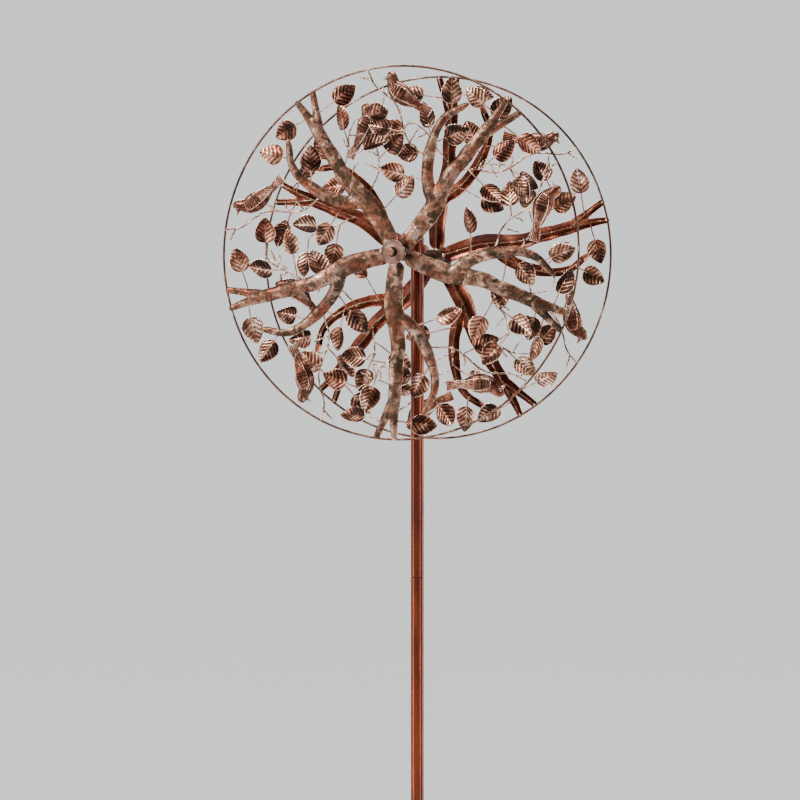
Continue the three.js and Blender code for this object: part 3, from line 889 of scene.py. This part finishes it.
class Shader:
    """A procedural material with short calls for its nodes. Patterns are laid out in metres at rest."""

    def __init__(self, name, **constants):
        self.material = bpy.data.materials.new(name)
        self.material.use_nodes = True
        self.tree = self.material.node_tree
        self.surface = self.tree.nodes["Principled BSDF"]
        for key, value in constants.items():
            self.surface.inputs[key.replace("_", " ")].default_value = value
        self.where = self.tree.nodes.new("ShaderNodeTexCoord").outputs["Object"]

    def put(self, socket, value):
        if isinstance(value, bpy.types.NodeSocket):
            self.tree.links.new(value, socket)
        else:
            socket.default_value = value

    def noise(self, scale, detail=4.0, rough=0.6, distortion=0.0, stretch=(1, 1, 1)):
        settings = {"Scale": scale, "Detail": detail, "Roughness": rough, "Distortion": distortion}
        mapping = self.tree.nodes.new("ShaderNodeMapping")
        mapping.inputs["Scale"].default_value = stretch
        self.put(mapping.inputs["Vector"], self.where)
        made = self.tree.nodes.new("ShaderNodeTexNoise")
        self.put(made.inputs["Vector"], mapping.outputs["Vector"])
        for key, value in settings.items():
            made.inputs[key].default_value = value
        return made.outputs["Fac"]

    def attribute(self, name):
        made = self.tree.nodes.new("ShaderNodeAttribute")
        made.attribute_name = name
        return made.outputs["Fac"]

    def math(self, operation, a, b=0.0):
        made = self.tree.nodes.new("ShaderNodeMath")
        made.operation = operation
        self.put(made.inputs[0], a)
        self.put(made.inputs[1], b)
        return made.outputs[0]

    def spread(self, value, low, high, out_low=0.0, out_high=1.0):
        """The value stretched so that low to high becomes out_low to out_high."""
        made = self.tree.nodes.new("ShaderNodeMapRange")
        for key, entry in zip(("Value", "From Min", "From Max", "To Min", "To Max"),
                              (value, low, high, out_low, out_high)):
            self.put(made.inputs[key], entry)
        return made.outputs["Result"]

    def ramp(self, factor, stops):
        made = self.tree.nodes.new("ShaderNodeValToRGB")
        self.put(made.inputs["Fac"], factor)
        points = made.color_ramp.elements
        while len(points) < len(stops):
            points.new(0.5)
        for point, (spot, color) in zip(points, stops):
            point.position = spot
            point.color = (*color, 1)
        return made.outputs["Color"]

    def mix(self, factor, a, b, blend="MIX"):
        made = self.tree.nodes.new("ShaderNodeMix")
        made.data_type = "RGBA"
        made.blend_type = blend
        self.put(made.inputs["Factor"], factor)
        for socket, value in ((made.inputs["A"], a), (made.inputs["B"], b)):
            self.put(socket, (*value, 1) if isinstance(value, tuple) and len(value) == 3 else value)
        return made.outputs["Result"]

    def bump(self, height, strength, distance):
        made = self.tree.nodes.new("ShaderNodeBump")
        made.inputs["Strength"].default_value = strength
        made.inputs["Distance"].default_value = distance
        self.put(made.inputs["Height"], height)
        self.put(self.surface.inputs["Normal"], made.outputs["Normal"])

    def finish(self, color, roughness, metallic):
        self.put(self.surface.inputs["Base Color"], color)
        self.put(self.surface.inputs["Roughness"], roughness)
        self.put(self.surface.inputs["Metallic"], metallic)
        return self.material


def bark_patina():
    """Mottled bronze: red and grey clouds, near-black stains, pale wear and painted highlight, fine
    specks.
    """
    s = Shader("bark_patina")
    cloud = s.noise(40, 5, 0.6, 0.5)
    base = s.ramp(cloud, [(0.37, (0.045, 0.017, 0.009)), (0.47, (0.135, 0.058, 0.034)),
                          (0.57, (0.27, 0.135, 0.088)), (0.69, (0.60, 0.40, 0.31))])
    wide = s.noise(21, 3, 0.55, 0.3)
    redder = s.spread(wide, 0.5, 0.6, 0, 0.75)
    colour = s.mix(redder, base, s.mix(0.55, base, (0.24, 0.048, 0.020)))
    grey = s.spread(s.noise(33, 5, 0.62, 0.3), 0.54, 0.64, 0, 0.55)
    colour = s.mix(grey, colour, (0.30, 0.215, 0.165))
    stain = s.noise(56, 6, 0.7, 0.5)
    dark = s.math("MULTIPLY", s.spread(stain, 0.5, 0.54), s.spread(wide, 0.36, 0.5, 0.98, 0.8))
    colour = s.mix(dark, colour, (0.026, 0.020, 0.013))
    # Lighter along the crests and edges of the sheets: wear and painted highlight.
    worn_and_highlit = s.spread(s.attribute("rub_and_highlight"), 0.86, 1.15, 0, 0.4)
    colour = s.mix(worn_and_highlit, colour, (0.60, 0.40, 0.30))
    speck = s.noise(260, 5, 0.8)
    colour = s.mix(s.spread(speck, 0.52, 0.58, 0, 0.55), colour, (0.045, 0.026, 0.015))
    rough = s.spread(stain, 0.35, 0.62, 0.25, 0.52)
    s.bump(s.math("ADD", s.math("MULTIPLY", cloud, 2.0), s.math("MULTIPLY", speck, 0.4)), 0.5, 0.0016)
    return s.finish(colour, rough, s.spread(dark, 0, 1, 0.85, 0.97))


def copper_back():
    s = Shader("copper_back", Coat_Weight=0.35, Coat_Roughness=0.2)
    cloud = s.noise(26, 4, 0.6, 0.5)
    colour = s.ramp(cloud, [(0.36, (0.045, 0.010, 0.006)), (0.52, (0.20, 0.042, 0.020)),
                            (0.68, (0.50, 0.16, 0.085))])
    fine = s.noise(300, 3, 0.6)
    s.bump(s.math("ADD", cloud, s.math("MULTIPLY", fine, 0.2)), 0.3, 0.0014)
    return s.finish(colour, s.spread(cloud, 0.3, 0.7, 0.38, 0.24), 0.92)


# Bare copper on the cut edges of the sheets, in a bright cream that is partly a painted highlight.
def copper_edge_highlight():
    s = Shader("copper_edge_highlight")
    colour = s.ramp(s.noise(90, 3), [(0.35, (0.62, 0.40, 0.27)), (0.62, (0.95, 0.78, 0.60))])
    s.bump(s.noise(500, 2), 0.2, 0.0005)
    return s.finish(colour, s.spread(s.noise(120, 2), 0.3, 0.7, 0.24, 0.42), 0.95)


def leaf_metal(name, stops, gloss):
    """Bronze that is dark in its hollows and bright where the value of wear and painted highlight is high.
    """
    s = Shader(name)
    cloud = s.noise(85, 4, 0.6, 0.3)
    level = s.math("ADD", s.attribute("rub_and_highlight"), s.spread(cloud, 0.3, 0.7, -0.2, 0.2))
    colour = s.ramp(level, stops)
    tint = s.spread(s.noise(14, 2, 0.5), 0.45, 0.62, 0, 0.6)
    colour = s.mix(tint, colour, (0.95, 0.55, 0.42), "MULTIPLY")
    fine = s.noise(650, 2, 0.6)
    s.bump(s.math("ADD", cloud, s.math("MULTIPLY", fine, 0.35)), 0.25, 0.0009)
    return s.finish(colour, s.spread(level, 0.1, 0.9, *gloss), 0.9)


def disc_metal(name, stops):
    s = Shader(name)
    colour = s.ramp(s.noise(95, 4, 0.6), stops)
    grain = s.noise(1400, 2, 0.6)
    s.bump(grain, 0.3, 0.0003)
    return s.finish(colour, s.spread(grain, 0.3, 0.7, 0.40, 0.56), 0.75)


def hub_metal():
    s = Shader("hub_maroon")
    cloud = s.noise(70, 4, 0.6)
    colour = s.ramp(cloud, [(0.3, (0.012, 0.005, 0.004)), (0.7, (0.075, 0.026, 0.018))])
    s.bump(s.noise(900, 2), 0.15, 0.0003)
    return s.finish(colour, s.spread(cloud, 0.3, 0.7, 0.46, 0.32), 0.8)


def pole_enamel():
    s = Shader("pole_copper_enamel", Coat_Weight=0.3, Coat_Roughness=0.05, Coat_IOR=1.45)
    # Vertical streaks from dark to bright in the enamel's colour: painted reflections and shade along the
    # pole.
    painted_reflection_streaks = s.noise(9, 4, 0.55, 0.2, (6, 6, 0.7))
    flake = s.noise(1500, 2, 0.7)
    level = s.math("ADD", painted_reflection_streaks, s.spread(flake, 0.3, 0.7, -0.06, 0.06))
    colour = s.ramp(level, [(0.3, (0.055, 0.006, 0.001)), (0.5, (0.115, 0.016, 0.003)),
                            (0.72, (0.23, 0.042, 0.011))])
    s.bump(s.noise(160, 3, 0.5), 0.05, 0.0004)
    return s.finish(colour, s.spread(flake, 0.3, 0.7, 0.16, 0.28), 0.9)


def steel_metal(name, low, high):
    s = Shader(name)
    turning = s.noise(700, 2, 0.5, 0, (0.1, 1, 0.1))
    colour = s.ramp(turning, [(0.3, low), (0.7, high)])
    s.bump(turning, 0.12, 0.0002)
    return s.finish(colour, s.spread(turning, 0.3, 0.7, 0.26, 0.4), 1.0)


def stake_coat():
    s = Shader("stake_powder_coat")
    peel = s.noise(700, 3, 0.6)
    colour = s.ramp(s.noise(40, 4, 0.6), [(0.35, (0.038, 0.028, 0.022)), (0.7, (0.10, 0.07, 0.055))])
    s.bump(peel, 0.3, 0.0004)
    return s.finish(colour, s.spread(peel, 0.3, 0.7, 0.42, 0.6), 0.5)


def eye_gloss():
    s = Shader("eye_dark", Coat_Weight=1.0, Coat_Roughness=0.06)
    colour = s.ramp(s.noise(500, 2), [(0.3, (0.006, 0.004, 0.004)), (0.8, (0.03, 0.02, 0.018))])
    return s.finish(colour, s.spread(s.noise(300, 2), 0.3, 0.7, 0.15, 0.3), 0.0)


BARK = bark_patina()
COPPER_BACK = copper_back()
COPPER_EDGE_HIGHLIGHT = copper_edge_highlight()
LEAF = leaf_metal("leaf_bronze", [(0.04, (0.014, 0.006, 0.004)), (0.24, (0.085, 0.034, 0.020)),
                                  (0.46, (0.32, 0.145, 0.092)), (0.72, (0.95, 0.72, 0.59))], (0.40, 0.20))
BIRD = leaf_metal("bird_bronze", [(0.04, (0.014, 0.006, 0.004)), (0.26, (0.080, 0.030, 0.018)),
                                  (0.50, (0.24, 0.100, 0.062)), (0.80, (0.93, 0.72, 0.60))], (0.38, 0.22))
WIRE_METAL = leaf_metal("wire_bronze", [(0.1, (0.030, 0.015, 0.009)), (0.42, (0.150, 0.078, 0.048)),
                                        (0.78, (0.78, 0.60, 0.45))], (0.36, 0.2))
DISC = disc_metal("hub_disc_bronze", [(0.3, (0.13, 0.058, 0.040)), (0.55, (0.24, 0.135, 0.100)),
                                      (0.75, (0.40, 0.26, 0.21))])
NUT = disc_metal("ball_nut_copper", [(0.3, (0.13, 0.04, 0.024)), (0.55, (0.27, 0.10, 0.065)),
                                     (0.75, (0.50, 0.27, 0.20))])
HUB = hub_metal()
POLE = pole_enamel()
STEEL = steel_metal("axle_steel", (0.40, 0.36, 0.31), (0.64, 0.58, 0.50))
# Near-black steel for the washers, sleeves and bearings of the hubs.
DARK_STEEL = steel_metal("dark_steel", (0.035, 0.022, 0.016), (0.12, 0.075, 0.055))
STAKE = stake_coat()
EYE = eye_gloss()


# The object

def rotor(side, seed):
    """A ring with its hub and its five arms."""
    body = f"{side}_rotor"
    hub(side)
    name = f"{side}_ring_wire"
    show(name, ring(seed).mesh(name, rotor_matrix(side)), [WIRE_METAL], body, [f"{side}_ring"])
    for number in range(ARMS):
        rng = random.Random(seed * 100 + number)
        matrix = rotor_matrix(side) @ Matrix.Rotation(arm_turn(side, number), 4, "Y")
        k = number + 1
        sprig = f"{side}_leaf_sprig_{k}"
        parts = [
            ("branch_bark", bark_sheet(seed + number), [BARK, COPPER_BACK, COPPER_EDGE_HIGHLIGHT], "bark",
             f"{side}_branch_sheet_{k}"),
            ("branch_ribs", rib_frame(seed + number), [WIRE_METAL], "leaf", sprig),
            ("twigs", twigs(rng, seed + number), [WIRE_METAL], "wire", sprig),
            ("leaves", leaves(rng), [LEAF], "leaf", sprig),
        ]
        for part, build, materials, slot, node in parts:
            name = f"{side}_{part}_{k}"
            show(name, build.mesh(name, matrix), materials, body, [node])
        name = f"{side}_perched_bird_{k}"
        perch = matrix @ Matrix.Translation(place(*BIRD_CENTRE))
        show(name, BIRD_BUILD.mesh(name, perch), [BIRD, EYE], body, [f"{side}_bird_{k}"])


BIRD_BUILD = bird()
stand()
rotor("front", 1)
rotor("rear", 2)
for name, node in frame["nodes"].items():
    if name.endswith("_bearing"):
        recoat(node, DARK_STEEL)


# Studio

SKY = (0.86, 0.87, 0.88)
SKY_STRENGTH = 1.15
CEILING = 0.13  # how bright the room is overhead, against the horizon
FADE_LOW, FADE_HIGH = 0.13, 0.28  # the heights of direction between which the sky fades to the ceiling
FLOOR_RADIUS = 300.0
FLOOR_GLOW = 1.0
LIT_SPOT = Vector((0, 0, 1.35))

# Each lamp's name, place, width, height, power and colour
LAMPS = [
    ("key", (-2.2, -3.0, 3.9), 1.4, 1.4, 210, (1.0, 0.975, 0.94)),
    ("left_strip", (-3.0, -1.9, 1.35), 0.5, 3.0, 60, (1.0, 0.98, 0.95)),
    ("right_strip", (3.3, -1.2, 1.35), 0.35, 3.0, 45, (1.0, 0.98, 0.96)),
    ("top", (0.3, -0.3, 4.2), 1.6, 1.6, 110, (1.0, 0.98, 0.95)),
    ("back", (-1.8, 3.4, 3.4), 1.5, 1.5, 140, (1.0, 0.98, 0.95)),
    ("rim", (2.8, 2.4, 1.5), 0.5, 3.0, 70, (1.0, 0.97, 0.93)),
]

CAMERA_SPOT = (1.741, -5.359, 1.360)
CAMERA_TURN = 18.29  # degrees, anticlockwise from looking along +y
LENS = 153


def room():
    """A pale surround that darkens overhead."""
    world = bpy.data.worlds.new("studio_world")
    world.use_nodes = True
    tree = world.node_tree
    background = tree.nodes["Background"]
    direction = tree.nodes.new("ShaderNodeTexCoord").outputs["Generated"]
    split = tree.nodes.new("ShaderNodeSeparateXYZ")
    tree.links.new(direction, split.inputs["Vector"])
    fade = tree.nodes.new("ShaderNodeValToRGB")
    tree.links.new(split.outputs["Z"], fade.inputs["Fac"])
    fade.color_ramp.interpolation = "EASE"
    low, high = fade.color_ramp.elements
    low.position = FADE_LOW
    low.color = (*SKY, 1)
    high.position = FADE_HIGH
    high.color = (*(channel * CEILING for channel in SKY), 1)
    tree.links.new(fade.outputs["Color"], background.inputs["Color"])
    background.inputs["Strength"].default_value = SKY_STRENGTH
    bpy.context.scene.world = world


def pale_floor():
    """A round floor just under the object, so wide that its edge can't be seen."""
    mesh = bpy.data.meshes.new("studio_floor")
    count, height = 96, CAD_BOX[0][2] - 0.001
    turns = [2 * math.pi * i / count for i in range(count)]
    verts = [(FLOOR_RADIUS * math.cos(turn), FLOOR_RADIUS * math.sin(turn), height) for turn in turns]
    mesh.from_pydata(verts, [], [tuple(range(count))])
    floor = bpy.data.objects.new("studio_floor", mesh)
    bpy.context.scene.collection.objects.link(floor)
    s = Shader("studio_floor_pale")
    shade = s.ramp(s.noise(0.7, 2), [(0.0, (0.74, 0.745, 0.75)), (1.0, (0.76, 0.765, 0.77))])
    s.surface.inputs["Emission Color"].default_value = (*SKY, 1)
    s.surface.inputs["Emission Strength"].default_value = FLOOR_GLOW
    s.surface.inputs["Specular IOR Level"].default_value = 0.0
    mesh.materials.append(s.finish(shade, 1.0, 0.0))


def lights():
    for name, spot, width, height, power, colour in LAMPS:
        lamp = bpy.data.lights.new(f"{name}_light", "AREA")
        lamp.shape = "RECTANGLE"
        lamp.size = width
        lamp.size_y = height
        lamp.energy = power
        lamp.color = colour
        obj = bpy.data.objects.new(f"{name}_light", lamp)
        obj.location = spot
        obj.rotation_euler = (LIT_SPOT - Vector(spot)).to_track_quat("-Z", "Y").to_euler()
        bpy.context.scene.collection.objects.link(obj)


def camera():
    data = bpy.data.cameras.new("view_camera")
    data.lens = LENS
    data.sensor_width = 36
    data.clip_end = 1000
    obj = bpy.data.objects.new("view_camera", data)
    obj.location = CAMERA_SPOT
    obj.rotation_euler = (math.radians(90), 0, math.radians(CAMERA_TURN))
    bpy.context.scene.collection.objects.link(obj)
    bpy.context.scene.camera = obj


room()
pale_floor()
lights()
camera()
